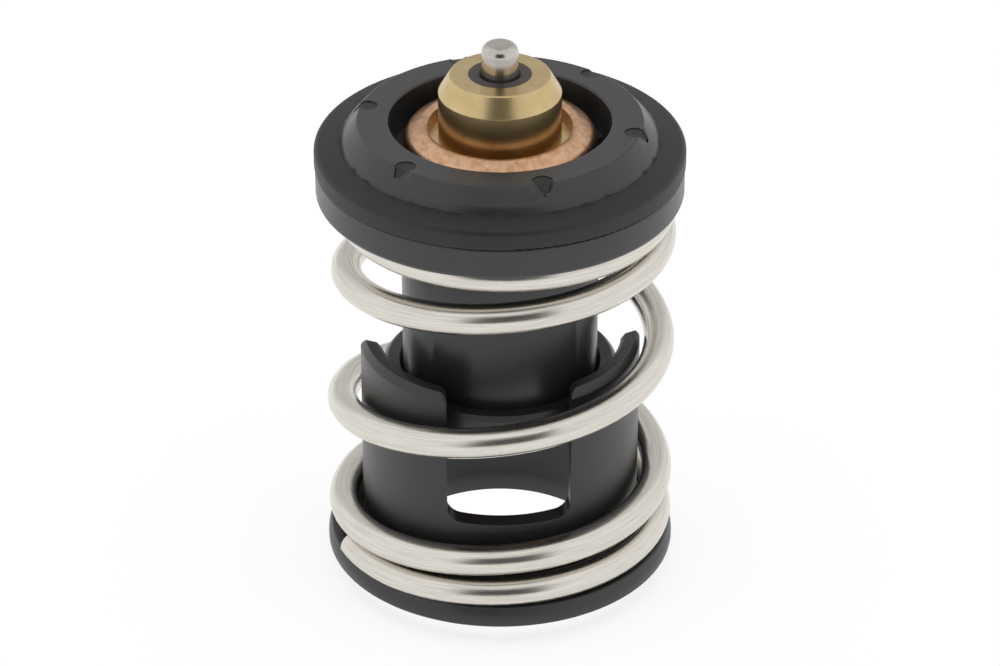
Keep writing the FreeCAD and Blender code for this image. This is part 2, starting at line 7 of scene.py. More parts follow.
import logging
import math
from dataclasses import dataclass, field
from enum import Enum
from typing import Any

import bmesh
import bpy
from bmesh.types import BMEdge, BMesh, BMVert
from bpy.types import Material, Node, NodeSocket, NodeTree, Object
from mathutils import Matrix, Vector


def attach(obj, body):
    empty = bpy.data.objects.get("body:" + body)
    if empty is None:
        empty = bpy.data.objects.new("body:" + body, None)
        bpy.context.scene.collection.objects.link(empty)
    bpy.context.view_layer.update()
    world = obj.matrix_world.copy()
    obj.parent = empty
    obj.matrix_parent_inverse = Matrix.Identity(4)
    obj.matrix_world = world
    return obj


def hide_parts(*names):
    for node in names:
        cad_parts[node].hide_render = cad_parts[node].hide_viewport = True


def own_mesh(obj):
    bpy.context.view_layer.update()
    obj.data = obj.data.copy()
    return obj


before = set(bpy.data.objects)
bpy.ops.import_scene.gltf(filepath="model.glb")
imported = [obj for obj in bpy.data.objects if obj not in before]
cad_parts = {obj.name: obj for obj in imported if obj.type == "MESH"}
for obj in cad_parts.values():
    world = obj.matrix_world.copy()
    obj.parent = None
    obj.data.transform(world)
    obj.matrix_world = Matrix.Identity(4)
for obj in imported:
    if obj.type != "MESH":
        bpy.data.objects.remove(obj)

MM = 0.001
WELD = 0.001 * MM
CUT_SLACK = 1e-7
RING_MATCH_MM = 0.01
RING_FACETS = 4
TURN_STEPS = 144
SHARP_DEGREES = 30.0
POLYMER_INDEX = 1.55
LOG = logging.getLogger("thermostat")


class Body(Enum):
    """Rigid bodies of the mechanism that the pieces made here ride on."""

    CAGE = "cage"
    VALVE = "valve"


def srgb(code: str) -> tuple[float, float, float, float]:
    """Turn an sRGB hex colour into linear RGBA.

    Args:
        code: Six hex digits, such as "c9c4bb".

    Returns:
        Red, green, blue and alpha for a shader socket.
    """
    channels = [int(code[place:place + 2], 16) / 255.0 for place in (0, 2, 4)]
    linear = [
        value / 12.92 if value <= 0.04045 else ((value + 0.055) / 1.055) ** 2.4
        for value in channels
    ]
    return linear[0], linear[1], linear[2], 1.0


def per(width_mm: float) -> float:
    """Pattern scale that gives features of a width in millimetres."""
    return 1.0 / (width_mm * MM)


def add_node(
    tree: NodeTree,
    kind: str,
    inputs: dict[str | int, Any] | None = None,
    settings: dict[str, Any] | None = None,
) -> Node:
    """Add a shader node with its settings, socket values and links.

    Args:
        tree: Node tree of the material.
        kind: Node type without the "ShaderNode" prefix.
        inputs: Socket name or number to a value, or to an output socket to link from.
        settings: Node properties by name.

    Returns:
        The new node.
    """
    node = tree.nodes.new("ShaderNode" + kind)
    for name, value in (settings or {}).items():
        setattr(node, name, value)
    for name, value in (inputs or {}).items():
        if isinstance(value, NodeSocket):
            tree.links.new(value, node.inputs[name])
        else:
            node.inputs[name].default_value = value
    return node


@dataclass
class Surface:
    """A material's node tree and its principled shader, for a finish to draw on."""

    tree: NodeTree
    shader: Node

    def place(self) -> NodeSocket:
        """Object coordinates of the surface."""
        return add_node(self.tree, "TexCoord").outputs["Object"]

    def noise(
        self, place: NodeSocket, scale: float, layers: float, weight: float = 0.5
    ) -> NodeSocket:
        """Cloudy pattern with finer layers, each as strong as weight against the last."""
        node = add_node(self.tree, "TexNoise", {
            "Vector": place, "Scale": scale, "Detail": layers, "Roughness": weight})
        return node.outputs["Fac"]

    def tint(self, pattern: NodeSocket, stops: list[tuple[float, str]]) -> None:
        """Colour the surface by a pattern.

        Args:
            pattern: The pattern.
            stops: Rising values of the pattern, each with its sRGB hex colour.
        """
        node = add_node(self.tree, "ValToRGB", {"Fac": pattern})
        points = node.color_ramp.elements
        while len(points) < len(stops):
            points.new(0.5)
        for point, (position, colour) in zip(points, stops):
            point.position = position
            point.color = srgb(colour)
        self.tree.links.new(node.outputs["Color"], self.shader.inputs["Base Color"])

    def polish(
        self, pattern: NodeSocket, span: tuple[float, float], roughness: tuple[float, float]
    ) -> None:
        """Let the roughness follow a pattern, from one end of its span to the other."""
        node = add_node(self.tree, "MapRange", {
            "Value": pattern, "From Min": span[0], "From Max": span[1],
            "To Min": roughness[0], "To Max": roughness[1]})
        self.tree.links.new(node.outputs["Result"], self.shader.inputs["Roughness"])

    def emboss(self, pattern: NodeSocket, strength: float, depth_mm: float) -> None:
        """Bump the shading by a pattern that is depth_mm high."""
        bump = add_node(self.tree, "Bump", {
            "Strength": strength, "Distance": depth_mm * MM, "Height": pattern})
        self.tree.links.new(bump.outputs["Normal"], self.shader.inputs["Normal"])


@dataclass(frozen=True)
class Finish:
    """Base of every finish: a named material with a principled shader.

    Attributes:
        name: Name of the real material and how it was made.
        base: Base colour, sRGB hex.
        roughness: Microfacet roughness.
    """

    name: str
    base: str
    roughness: float

    def make(self) -> Material:
        """Build the material.

        Returns:
            The new material.
        """
        material = bpy.data.materials.new(self.name)
        material.use_nodes = True
        tree = material.node_tree
        tree.nodes.clear()
        shader = add_node(tree, "BsdfPrincipled", {
            "Base Color": srgb(self.base), "Roughness": self.roughness})
        add_node(tree, "OutputMaterial", {"Surface": shader.outputs["BSDF"]})
        self.detail(Surface(tree, shader))
        return material

    def detail(self, surface: Surface) -> None:
        """Add the finish's own pattern to a surface."""


@dataclass(frozen=True)
class MouldedPlastic(Finish):
    """Glass-filled engineering plastic, moulded: a dark satin skin with soft flow mottling.

    Attributes:
        flow: Base colour of the paler flow patches.
        patch_mm: Width of the flow patches.
        grit_mm: Width of the fine skin texture, drawn coarser than real so that it shows.
        relief: Strength of the skin's bump.
    """

    flow: str
    patch_mm: float
    grit_mm: float
    relief: float

    def detail(self, surface: Surface) -> None:
        """Mottle the colour and gloss, and add the skin's fine relief."""
        place = surface.place()
        surface.shader.inputs["IOR"].default_value = POLYMER_INDEX
        patches = surface.noise(place, per(self.patch_mm), layers=4.0)
        grit = surface.noise(place, per(self.grit_mm), layers=3.0)
        surface.tint(patches, [(0.35, self.base), (0.7, self.flow)])
        surface.polish(
            patches, span=(0.3, 0.7), roughness=(self.roughness - 0.04, self.roughness + 0.06))
        surface.emboss(grit, self.relief, depth_mm=0.02)


@dataclass(frozen=True)
class SoftMoulding(Finish):
    """Rubber or another soft polymer: matt, with a dusty bloom and a fine pebble.

    Attributes:
        bloom: Colour of the bloom.
        pebble_mm: Width of the pebble.
        cloud_mm: Width of the patches of bloom.
    """

    bloom: str
    pebble_mm: float
    cloud_mm: float = 5.0

    def detail(self, surface: Surface) -> None:
        """Add the bloom and the pebble."""
        place = surface.place()
        cloud = surface.noise(place, per(self.cloud_mm), layers=6.0, weight=0.6)
        pebble = surface.noise(place, per(self.pebble_mm), layers=2.0)
        surface.tint(cloud, [(0.35, self.base), (0.75, self.bloom)])
        surface.emboss(pebble, strength=0.35, depth_mm=0.03)


@dataclass(frozen=True)
class DrawnWire(Finish):
    """Stainless spring wire, drawn: bright satin with dull streaks that run along the wire.

    Attributes:
        dull: Colour of the streaks left by the die.
        streak_mm: Width of a streak.
        streak_length_mm: Length of a streak.
    """

    dull: str
    streak_mm: float
    streak_length_mm: float

    def detail(self, surface: Surface) -> None:
        """Draw the streaks in the wire's own coordinates."""
        wire = add_node(surface.tree, "Attribute", settings={"attribute_name": "wire_place"})
        surface.shader.inputs["Metallic"].default_value = 1.0
        across = per(self.streak_mm)
        drawn = add_node(surface.tree, "Mapping", {
            "Vector": wire.outputs["Vector"],
            "Scale": (across, across, per(self.streak_length_mm))})
        streaks = surface.noise(drawn.outputs["Vector"], 1.0, layers=5.0, weight=0.65)
        surface.tint(streaks, [(0.36, self.dull), (0.56, self.base)])
        surface.polish(
            streaks, span=(0.3, 0.65), roughness=(self.roughness + 0.1, self.roughness - 0.03))
        surface.emboss(streaks, strength=0.25, depth_mm=0.02)


@dataclass(frozen=True)
class TurnedMetal(Finish):
    """Metal turned on a lathe: fine rings round the axis and a slightly uneven tone.

    Attributes:
        tint: Second tone of the surface.
        ring_mm: Spacing of the rings left by the tool, drawn coarser than real.
        relief: Strength of the rings.
        cloud_mm: Width of the patches of the second tone.
    """

    tint: str
    ring_mm: float
    relief: float
    cloud_mm: float = 2.2

    def detail(self, surface: Surface) -> None:
        """Draw rings by height and radius, and tone patches."""
        place = surface.place()
        surface.shader.inputs["Metallic"].default_value = 1.0
        split = add_node(surface.tree, "SeparateXYZ", {"Vector": place})
        flat = add_node(surface.tree, "CombineXYZ", {
            "X": split.outputs["X"], "Y": split.outputs["Y"]})
        radius = add_node(surface.tree, "VectorMath", settings={"operation": "LENGTH"}, inputs={
            0: flat.outputs["Vector"]})
        profile = add_node(surface.tree, "CombineXYZ", {
            "X": radius.outputs["Value"], "Z": split.outputs["Z"]})
        rings = surface.noise(profile.outputs["Vector"], per(self.ring_mm), layers=2.0)
        cloud = surface.noise(place, per(self.cloud_mm), layers=5.0)
        surface.tint(cloud, [(0.35, self.base), (0.7, self.tint)])
        surface.emboss(rings, self.relief, depth_mm=0.02)


@dataclass(frozen=True)
class PressedCopper(Finish):
    """Copper cup, drawn and crimped: salmon, grainy where the lip was pressed over.

    Attributes:
        bright: Colour of the rubbed high spots.
        dark: Colour of the tarnish in the hollows.
        grain_mm: Width of the grain, and of the marks rubbed across the lip.
        rim_mm: Radius at which those marks have that width.
        cloud_mm: Width of the tarnish patches.
    """

    bright: str
    dark: str
    grain_mm: float
    rim_mm: float
    cloud_mm: float = 0.8

    def detail(self, surface: Surface) -> None:
        """Add tarnish patches, the pressed grain and the marks that run out from the axis."""
        place = surface.place()
        surface.shader.inputs["Metallic"].default_value = 1.0
        grain = surface.noise(place, per(self.grain_mm), layers=4.0, weight=0.6)
        flat = add_node(surface.tree, "VectorMath", settings={"operation": "MULTIPLY"}, inputs={
            0: place, 1: (1.0, 1.0, 0.0)})
        spoke = add_node(surface.tree, "VectorMath", settings={"operation": "NORMALIZE"}, inputs={
            0: flat.outputs["Vector"]})
        rubbed = surface.noise(
            spoke.outputs["Vector"], self.rim_mm / self.grain_mm, layers=3.0)
        relief = add_node(surface.tree, "Math", settings={"operation": "ADD"}, inputs={
            0: grain, 1: rubbed})
        cloud = surface.noise(place, per(self.cloud_mm), layers=5.0)
        surface.tint(cloud, [(0.3, self.dark), (0.5, self.base), (0.68, self.bright)])
        surface.polish(
            grain, span=(0.0, 1.0), roughness=(self.roughness - 0.08, self.roughness + 0.12))
        surface.emboss(relief.outputs[0], strength=0.7, depth_mm=0.04)


# Black satin, a touch paler where the melt flowed.
CAGE_PLASTIC = MouldedPlastic(
    "glass-filled polyamide, moulded black", "202021", 0.38, "262627", 6.0, 0.25, 0.25)
# Grey-black, with a soft sheen that picks out the cone of the disc.
VALVE_PLASTIC = MouldedPlastic(
    "glass-filled polyphenylene sulphide, moulded", "272728", 0.33, "2e2e30", 7.0, 0.2, 0.15)
# Near black and matt, so that the rim reads as rubber beside the plastic.
SEAL_RUBBER = SoftMoulding("EPDM rubber, moulded", "141415", 0.52, "1d1d1e", 0.3)
# Dark and dull, hidden in the element.
BOOT_RUBBER = SoftMoulding("nitrile rubber, moulded", "202020", 0.6, "2b2a29", 0.3)
# Brown-black ring that sets the pin off from the brass.
WIPER_RUBBER = SoftMoulding("fluoroelastomer ring", "332c29", 0.42, "413935", 0.2)
# Bright and slightly warm, with soft streaks along the wire.
SPRING_WIRE = DrawnWire("stainless spring wire, drawn", "dbd7cf", 0.21, "cac5bc", 0.16, 6.0)
# Salmon with a fine speckle of tarnish, the one warm red on the object.
CUP_COPPER = PressedCopper(
    "copper, drawn and crimped", "cfa684", 0.32, "dbb295", "b88c6c", 0.2, 9.0)
# Pale yellow with faint tool rings that stretch the highlights on the bevel.
GUIDE_BRASS = TurnedMetal("brass, turned", "c4ad7e", 0.29, "d0ba8c", 0.12, 0.14)
# The smoothest metal, near neutral, so that the pin mirrors its surroundings.
PIN_STEEL = TurnedMetal("bearing steel, ground", "c4bfb9", 0.2, "b5b0a9", 0.1, 0.04)
# Yellow-brown and dull, hidden in the element.
WAX = SoftMoulding("paraffin wax with metal powder", "c8b98a", 0.5, "b39b62", 0.5)
# Off-white and smooth, hidden in the element.
CHAFING_POLYMER = SoftMoulding("fluoropolymer ring", "d9d8d2", 0.4, "c9c8c1", 0.3)


def finish_piece(
    name: str, bm: BMesh, material: Material, body: Body, sharp_degrees: float
) -> Object:
    """Turn a bmesh into a dressed object that rides on a body.

    Args:
        name: Name of the piece.
        bm: Its mesh, freed here.
        material: Its finish.
        body: The body that it moves with.
        sharp_degrees: Edges steeper than this stay sharp.

    Returns:
        The new object.
    """
    mesh = bpy.data.meshes.new(name)
    bm.to_mesh(mesh)
    bm.free()
    mesh.materials.append(material)
    mesh.shade_smooth()
    mesh.set_sharp_from_angle(angle=math.radians(sharp_degrees))
    piece = bpy.data.objects.new(name, mesh)
    bpy.context.scene.collection.objects.link(piece)
    shading = piece.modifiers.new("weighted normals", "WEIGHTED_NORMAL")
    shading.mode = "FACE_AREA"
    shading.keep_sharp = True
    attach(piece, body.value)
    LOG.info("%s built with %d faces", name, len(mesh.polygons))
    return piece


def bevel(bm: BMesh, edges: list[BMEdge], offset: float, segments: int) -> None:
    """Round edges, by an offset in millimetres on each face."""
    bmesh.ops.bevel(
        bm, geom=edges, offset=offset * MM, offset_type="OFFSET", segments=segments,
        profile=0.5, affect="EDGES", clamp_overlap=True, material=-1)


def round_ring(bm: BMesh, radius: float, height: float, offset: float) -> None:
    """Round the edge that runs once round the axis.

    Args:
        bm: The mesh.
        radius: Its distance from the axis, millimetres.
        height: Its height, millimetres.
        offset: Width of the rounding on each face, millimetres.
    """
    edges = [
        edge for edge in bm.edges
        if all(
            abs(vert.co.xy.length / MM - radius) < RING_MATCH_MM
            and abs(vert.co.z / MM - height) < RING_MATCH_MM for vert in edge.verts)
    ]
    bevel(bm, edges, offset, RING_FACETS)


def turn_outline(bm: BMesh, outline: list[tuple[float, float]]) -> None:
    """Spin an outline once round the axis.

    Args:
        bm: The mesh.
        outline: Radius and height of its points in order, millimetres. A closed outline
            ends on its first point.
    """
    verts = [bm.verts.new(Vector((radius, 0.0, height)) * MM) for radius, height in outline]
    edges = [bm.edges.new(pair) for pair in zip(verts, verts[1:])]
    bmesh.ops.spin(
        bm, geom=verts + edges, cent=(0.0, 0.0, 0.0), axis=(0.0, 0.0, 1.0),
        angle=2.0 * math.pi, steps=TURN_STEPS, use_merge=True)
    bmesh.ops.remove_doubles(bm, verts=bm.verts[:], dist=WELD)


@dataclass
class CadPieces:
    """CAD nodes whose shape stays and that only take a finish."""

    finishes: dict[str, Finish] = field(default_factory=lambda: {
        "wax_charge": WAX,
        "rubber_boot": BOOT_RUBBER,
        "chafing_ring": CHAFING_POLYMER,
        "pin_guide": GUIDE_BRASS,
        "wiper_ring": WIPER_RUBBER,
        "pin": PIN_STEEL,
    })

    def dress(self) -> None:
        """Give each node its finish."""
        for name, finish in self.finishes.items():
            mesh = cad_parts[name].data
            mesh.materials.clear()
            mesh.materials.append(finish.make())
            LOG.info("%s dressed in %s", name, finish.name)


@dataclass
class HeightCurve:
    """Natural cubic spline of height over turn.

    Attributes:
        turns: Turns at which the height is known, rising.
        heights: Heights there.
    """

    turns: list[float]
    heights: list[float]

    def slopes_of_slope(self) -> list[float]:
        """Second derivatives at the known turns, found by elimination.

        Returns:
            One value per known turn, zero at both ends.
        """
        count = len(self.turns)
        upper = [0.0] * count
        part = [0.0] * count
        for index in range(1, count - 1):
            before = self.turns[index] - self.turns[index - 1]
            after = self.turns[index + 1] - self.turns[index]
            rise = (self.heights[index + 1] - self.heights[index]) / after
            rise -= (self.heights[index] - self.heights[index - 1]) / before
            pivot = 2.0 * (before + after) - before * upper[index - 1]
            upper[index] = after / pivot
            part[index] = (6.0 * rise - before * part[index - 1]) / pivot
        curved = [0.0] * count
        for index in range(count - 2, 0, -1):
            curved[index] = part[index] - upper[index] * curved[index + 1]
        return curved

    def value(self, turn: float, curved: list[float]) -> float:
        """Height at a turn.

        Args:
            turn: The turn, within the known ones.
            curved: What slopes_of_slope gave.

        Returns:
            The height there.
        """
        index = 0
        while index < len(self.turns) - 2 and turn > self.turns[index + 1]:
            index += 1
        span = self.turns[index + 1] - self.turns[index]
        right = (turn - self.turns[index]) / span
        left = 1.0 - right
        bulge = (left ** 3 - left) * curved[index] + (right ** 3 - right) * curved[index + 1]
        straight = left * self.heights[index] + right * self.heights[index + 1]
        return straight + bulge * span * span / 6.0


@dataclass
class CoilSpring:
    """Compression spring with closed, ground ends and open turns between them.

    Sizes are in millimetres and turns. The heights are those of the wire's middle at the
    front, right, back and left of every coil.

    Attributes:
        seat: Height of the lower ground end. The upper one is at top.
        foot_radius: Radius of the lower coils, to the wire's middle.
        draw: How much narrower the uppermost coils are.
        lean: How far they stand to the right.
        drift_turn: Turn at which the coils start to do so, over drift_turns.
        marks: Turns at which the height is given, by lay, then rise, then hang.
        lay: Heights above the seat, in wire diameters.
        rise: Heights between the last of lay and the first of hang, as shares of the way.
        hang: Heights below the top, in wire diameters.
    """

    wire: float = 3.35
    seat: float = 4.65
    top: float = 46.6
    foot_radius: float = 17.66
    draw: float = 0.71
    lean: float = 0.6
    drift_turn: float = 1.6
    drift_turns: float = 2.4
    start_degrees: float = -72.0
    marks: list[float] = field(default_factory=lambda: [
        0.0, 0.2, 0.45, 0.7, 0.95, 1.2, 1.45, 1.7, 1.95, 2.2, 2.45, 2.7, 2.95, 3.2, 3.45,
        3.7, 3.95, 4.2, 4.4])
    lay: list[float] = field(default_factory=lambda: [0.015, 0.405, 0.49, 0.56, 0.885, 1.66])
    rise: list[float] = field(default_factory=lambda: [
        0.0496, 0.1826, 0.354, 0.5065, 0.605, 0.754, 0.8915])
    hang: list[float] = field(default_factory=lambda: [1.839, 1.43, 0.925, 0.502, 0.394, 0.358])
    lift: float = 8.0
    steps_per_turn: int = 72
    sides: int = 32
    sharp_degrees: float = 40.0

    def heights(self) -> list[float]:
        """Heights of the wire's middle at the marked turns."""
        low = [self.seat + self.wire * share for share in self.lay]
        high = [self.top - self.wire * share for share in self.hang]
        open_rise = high[0] - low[-1]
        return low + [low[-1] + open_rise * share for share in self.rise] + high

    def centre_line(self) -> list[Vector]:
        """Points along the middle of the wire.

        Returns:
            Points in metres, evenly spaced in angle.
        """
        curve = HeightCurve(self.marks, self.heights())
        curved = curve.slopes_of_slope()
        turns = self.marks[-1]
        count = round(turns * self.steps_per_turn)
        points = []
        for step in range(count + 1):
            turn = turns * step / count
            share = min(1.0, max(0.0, (turn - self.drift_turn) / self.drift_turns))
            drift = share * share * (3.0 - 2.0 * share)
            radius = self.foot_radius - self.draw * drift
            angle = math.radians(self.start_degrees + 360.0 * turn)
            place = Vector((
                self.lean * drift + radius * math.sin(angle), -radius * math.cos(angle),
                curve.value(turn, curved)))
            points.append(place * MM)
        return points

    @staticmethod
    def section_frames(points: list[Vector]) -> list[Matrix]:
        """Placement of the wire's section at each point, its Z along the wire."""
        frames = []
        for index, point in enumerate(points):
            before = points[max(index - 1, 0)]
            after = points[min(index + 1, len(points) - 1)]
            heading = (after - before).normalized()
            outward = Vector((point.x, point.y, 0.0))
            outward = (outward - heading * outward.dot(heading)).normalized()
            side = heading.cross(outward)
            turned = Matrix((outward, side, heading)).transposed().to_4x4()
            frames.append(Matrix.Translation(point) @ turned)
        return frames

    def build(self) -> None:
        """Sweep the wire's section along the centre line and grind both ends flat."""
        points = self.centre_line()
        frames = self.section_frames(points)
        length = [0.0]
        for before, after in zip(points, points[1:]):
            length.append(length[-1] + (after - before).length)
        bm = bmesh.new()
        bm.verts.layers.float_vector.new("wire_place")
        first = bmesh.ops.create_circle(
            bm, cap_ends=True, segments=self.sides, radius=self.wire / 2 * MM,
            matrix=frames[0])["verts"]
        self.mark(bm, first, frames[0], length[0])
        rim = bm.edges[:]
        for index in range(1, len(frames)):
            grown = bmesh.ops.extrude_edge_only(bm, edges=rim)["geom"]
            verts = [item for item in grown if isinstance(item, BMVert)]
            rim = [item for item in grown if isinstance(item, BMEdge)]
            step = frames[index] @ frames[index - 1].inverted()
            bmesh.ops.transform(bm, matrix=step, verts=verts)
            self.mark(bm, verts, frames[index], length[index])
        bmesh.ops.edgeloop_fill(bm, edges=rim)
        for height, side in ((self.seat, -1.0), (self.top, 1.0)):
            everything = bm.verts[:] + bm.edges[:] + bm.faces[:]
            cut = bmesh.ops.bisect_plane(
                bm, geom=everything, dist=CUT_SLACK, plane_co=(0.0, 0.0, height * MM),
                plane_no=(0.0, 0.0, side), clear_outer=True)["geom_cut"]
            loop = [item for item in cut if isinstance(item, BMEdge)]
            bmesh.ops.edgeloop_fill(bm, edges=loop)
        bmesh.ops.recalc_face_normals(bm, faces=bm.faces[:])
        spring = finish_piece(
            "coil_spring", bm, SPRING_WIRE.make(), Body.CAGE, self.sharp_degrees)
        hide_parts("spring")
        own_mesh(spring)

    @staticmethod
    def mark(
        bm: BMesh, verts: list[BMVert], section: Matrix, travelled: float
    ) -> None:
        """Store each vertex's place on the wire: two across the section and one along it.

        Args:
            bm: The mesh.
            verts: The section's vertices.
            section: Placement of the section.
            travelled: Its distance along the wire, metres.
        """
        layer = bm.verts.layers.float_vector["wire_place"]
        back = section.inverted()
        for vert in verts:
            local = back @ vert.co
            vert[layer] = Vector((local.x, local.y, travelled))


@dataclass
class CrimpedCup:
    """Copper cup of the wax element, its lip pressed over the guide's shoulder.

    Sizes are in millimetres. The lip's edge, crest and outer corner are radius and height.
    """

    foot: float = 24.0
    radius: float = 9.5
    wall: float = 0.8
    collar_foot: float = 49.0
    collar_radius: float = 10.45
    seat_radius: float = 9.3
    seat_top: float = 53.1
    lip_inner: float = 7.55
    lip_edge: tuple[float, float] = (7.85, 54.4)
    lip_crest: tuple[float, float] = (8.4, 54.75)
    lip_outer: tuple[float, float] = (10.45, 53.7)
    foot_round: float = 1.5
    crest_round: float = 0.32
    shoulder_round: float = 0.8

    def build(self) -> None:
        """Turn the cup and round its lip."""
        bm = bmesh.new()
        inside = self.radius - self.wall
        ledge = self.collar_foot + self.wall
        turn_outline(bm, [
            (0.0, self.foot), (self.radius, self.foot), (self.radius, self.collar_foot),
            (self.collar_radius, self.collar_foot), self.lip_outer, self.lip_crest,
            self.lip_edge, (self.lip_inner, self.seat_top), (self.seat_radius, self.seat_top),
            (self.seat_radius, ledge), (inside, ledge), (inside, self.foot + self.wall),
            (0.0, self.foot + self.wall)])
        round_ring(bm, self.radius, self.foot, self.foot_round)
        round_ring(bm, *self.lip_outer, self.shoulder_round)
        round_ring(bm, *self.lip_crest, self.crest_round)
        bmesh.ops.recalc_face_normals(bm, faces=bm.faces[:])
        piece = finish_piece("crimped_cup", bm, CUP_COPPER.make(), Body.VALVE, SHARP_DEGREES)
        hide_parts("element_cup")


@dataclass(frozen=True)
class Column:
    """Upright section of the cage between two slot sides, given by where it lies.

    Attributes:
        start_centre: Direction of the slot before it, degrees from the front.
        start_across: Distance of the section from that slot's middle plane, millimetres.
        end_centre: Direction of the slot after it.
        end_across: Distance from that slot's middle plane, counted the same way round.
        share: How far the section lies from the first towards the second.
        foot: Height of the slot's lower edge there, millimetres.
        open_after: Whether the slot is open between this section and the next.
        side: Whether the section is a side of a slot.
    """

    start_centre: float
    start_across: float
    end_centre: float
    end_across: float
    share: float
    foot: float
    open_after: bool = False
    side: bool = False

    def place(self, radius: float, height: float) -> Vector:
        """Point of the section.

        Args:
            radius: Distance from the axis, millimetres.
            height: Height, millimetres.

        Returns:
            The point in metres.
        """
        start = math.radians(self.start_centre) + math.asin(self.start_across / radius)
        end = math.radians(self.end_centre) + math.asin(self.end_across / radius)
        angle = start + (end - start) * self.share
        return Vector((radius * math.sin(angle), -radius * math.cos(angle), height)) * MM


@dataclass
class SlottedCage:
    """Cage in one moulding: spigot, flange, slotted wall with three prongs and guide collar.

    Sizes are in millimetres and degrees. Each slot is given by its direction from the front
    and its half width. The lands are where the wall goes in to carry the collar. outer_foot
    and inner_foot are places in the outline. bevel_above and bevel_beyond leave out the edges
    near the flange and the lands.
    """

    slots: list[tuple[float, float]] = field(default_factory=lambda: [
        (0.0, 6.75), (120.0, 8.2), (240.0, 8.2)])
    base_bore: float = 12.4
    spigot_radius: float = 14.8
    spigot_length: float = 2.3
    flange_radius: float = 19.5
    flange_top: float = 4.65
    flange_slope: float = 0.4
    flange_fall: float = 1.15
    wall_radius: float = 15.5
    wall_bore: float = 13.4
    slot_foot: float = 13.2
    slot_corner: float = 1.5
    prong_height: float = 29.1
    prong_slope: float = 0.5
    prong_fall: float = 1.06
    prong_chamfer: float = 0.5
    prong_bevel: float = 0.6
    collar_foot: float = 21.9
    collar_top: float = 25.35
    collar_bore: float = 10.88
    collar_rim: float = 13.0
    collar_bevel: float = 0.5
    land_depth: float = 0.8
    land_slope: float = 0.4
    fine_bevel: float = 0.3
    edge_round: float = 0.4
    fine_round: float = 0.12
    fine_facets: int = 2
    hairline: float = 0.02
    corner_steps: int = 6
    column_width: float = 0.8
    outer_foot: int = 7
    inner_foot: int = 16
    bevel_above: float = 1.0
    bevel_beyond: float = 0.1
    bevel_degrees: float = 24.0

    def profile(self, column: Column) -> list[tuple[float, float]]:
        """Radius and height of the wall's outline, from the base bore out, up and back down.

        Args:
            column: The section that the outline is for.

        Returns:
            The outline's points; outer_foot and inner_foot are the slot's lower edge.
        """
        top = self.prong_height
        slope_foot = top - self.prong_fall
        outer = (self.wall_radius - self.prong_slope, top)
        inner = (self.wall_bore + self.prong_chamfer, top)
        chamfer_foot = (self.wall_bore, top - self.prong_chamfer)
        if column.side:
            cut = top - self.prong_bevel
            lean = self.prong_slope * (cut - slope_foot) / self.prong_fall
            outer = (self.wall_radius - lean, cut)
            inner = (self.wall_bore + self.fine_bevel, cut)
            chamfer_foot = (self.wall_bore, cut - self.fine_bevel)
        land = self.collar_rim - self.land_depth
        return [
            (self.base_bore, 0.0), (self.spigot_radius, 0.0),
            (self.spigot_radius, self.spigot_length), (self.flange_radius, self.spigot_length),
            (self.flange_radius, self.flange_top - self.flange_fall),
            (self.flange_radius - self.flange_slope, self.flange_top),
            (self.wall_radius, self.flange_top), (self.wall_radius, column.foot),
            (self.wall_radius, slope_foot), outer, inner, chamfer_foot,
            (self.wall_bore, self.collar_top - self.hairline),
            (land, self.collar_top - self.hairline), (land, self.collar_foot + self.hairline),
            (self.wall_bore, self.collar_foot - self.land_slope),
            (self.wall_bore, column.foot), (self.wall_bore, self.flange_top),
            (self.base_bore, self.spigot_length),
        ]

    def slot_columns(self, centre: float, half: float) -> list[Column]:
        """Sections from one side of a slot to the other, with its lower corners rounded."""
        flat = half - self.slot_corner
        spots = []
        for step in range(self.corner_steps + 1):
            turn = math.pi / 2.0 * (1.0 - step / self.corner_steps)
            rise = self.slot_corner * (1.0 - math.cos(turn))
            spots.append((-flat - self.slot_corner * math.sin(turn), rise))
        count = round(2.0 * flat / self.column_width)
        middle = [(-flat + 2.0 * flat * step / count, 0.0) for step in range(1, count)]
        spots = spots + middle + [(-across, rise) for across, rise in reversed(spots)]
        last = len(spots) - 1
        return [
            Column(
                centre, across, centre, across, 0.0, self.slot_foot + rise,
                open_after=index < last, side=index in (0, last))
            for index, (across, rise) in enumerate(spots)
        ]

    def wall_columns(
        self, before: tuple[float, float], after: tuple[float, float]
    ) -> list[Column]:
        """Sections of the wall between two slots, without the slots' sides."""
        width = math.radians(after[0] - before[0]) * self.wall_radius - before[1] - after[1]
        count = round(width / self.column_width)
        end = self.prong_bevel / width
        shares = [end] + [step / count for step in range(2, count - 1)] + [1.0 - end]
        foot = self.slot_foot + self.slot_corner
        return [
            Column(before[0], before[1], after[0], -after[1], share, foot) for share in shares
        ]

    def columns(self) -> list[Column]:
        """All sections once round, from the middle of one wall back to it."""
        ring, wall = [], []
        for index, (centre, half) in enumerate(self.slots):
            following = self.slots[(index + 1) % len(self.slots)]
            turned = following[0] + (360.0 if following[0] < centre else 0.0)
            wall = self.wall_columns((centre, half), (turned, following[1]))
            ring += self.slot_columns(centre, half) + wall
        middle = len(ring) - len(wall) // 2
        return ring[middle:] + ring[:middle + 1]

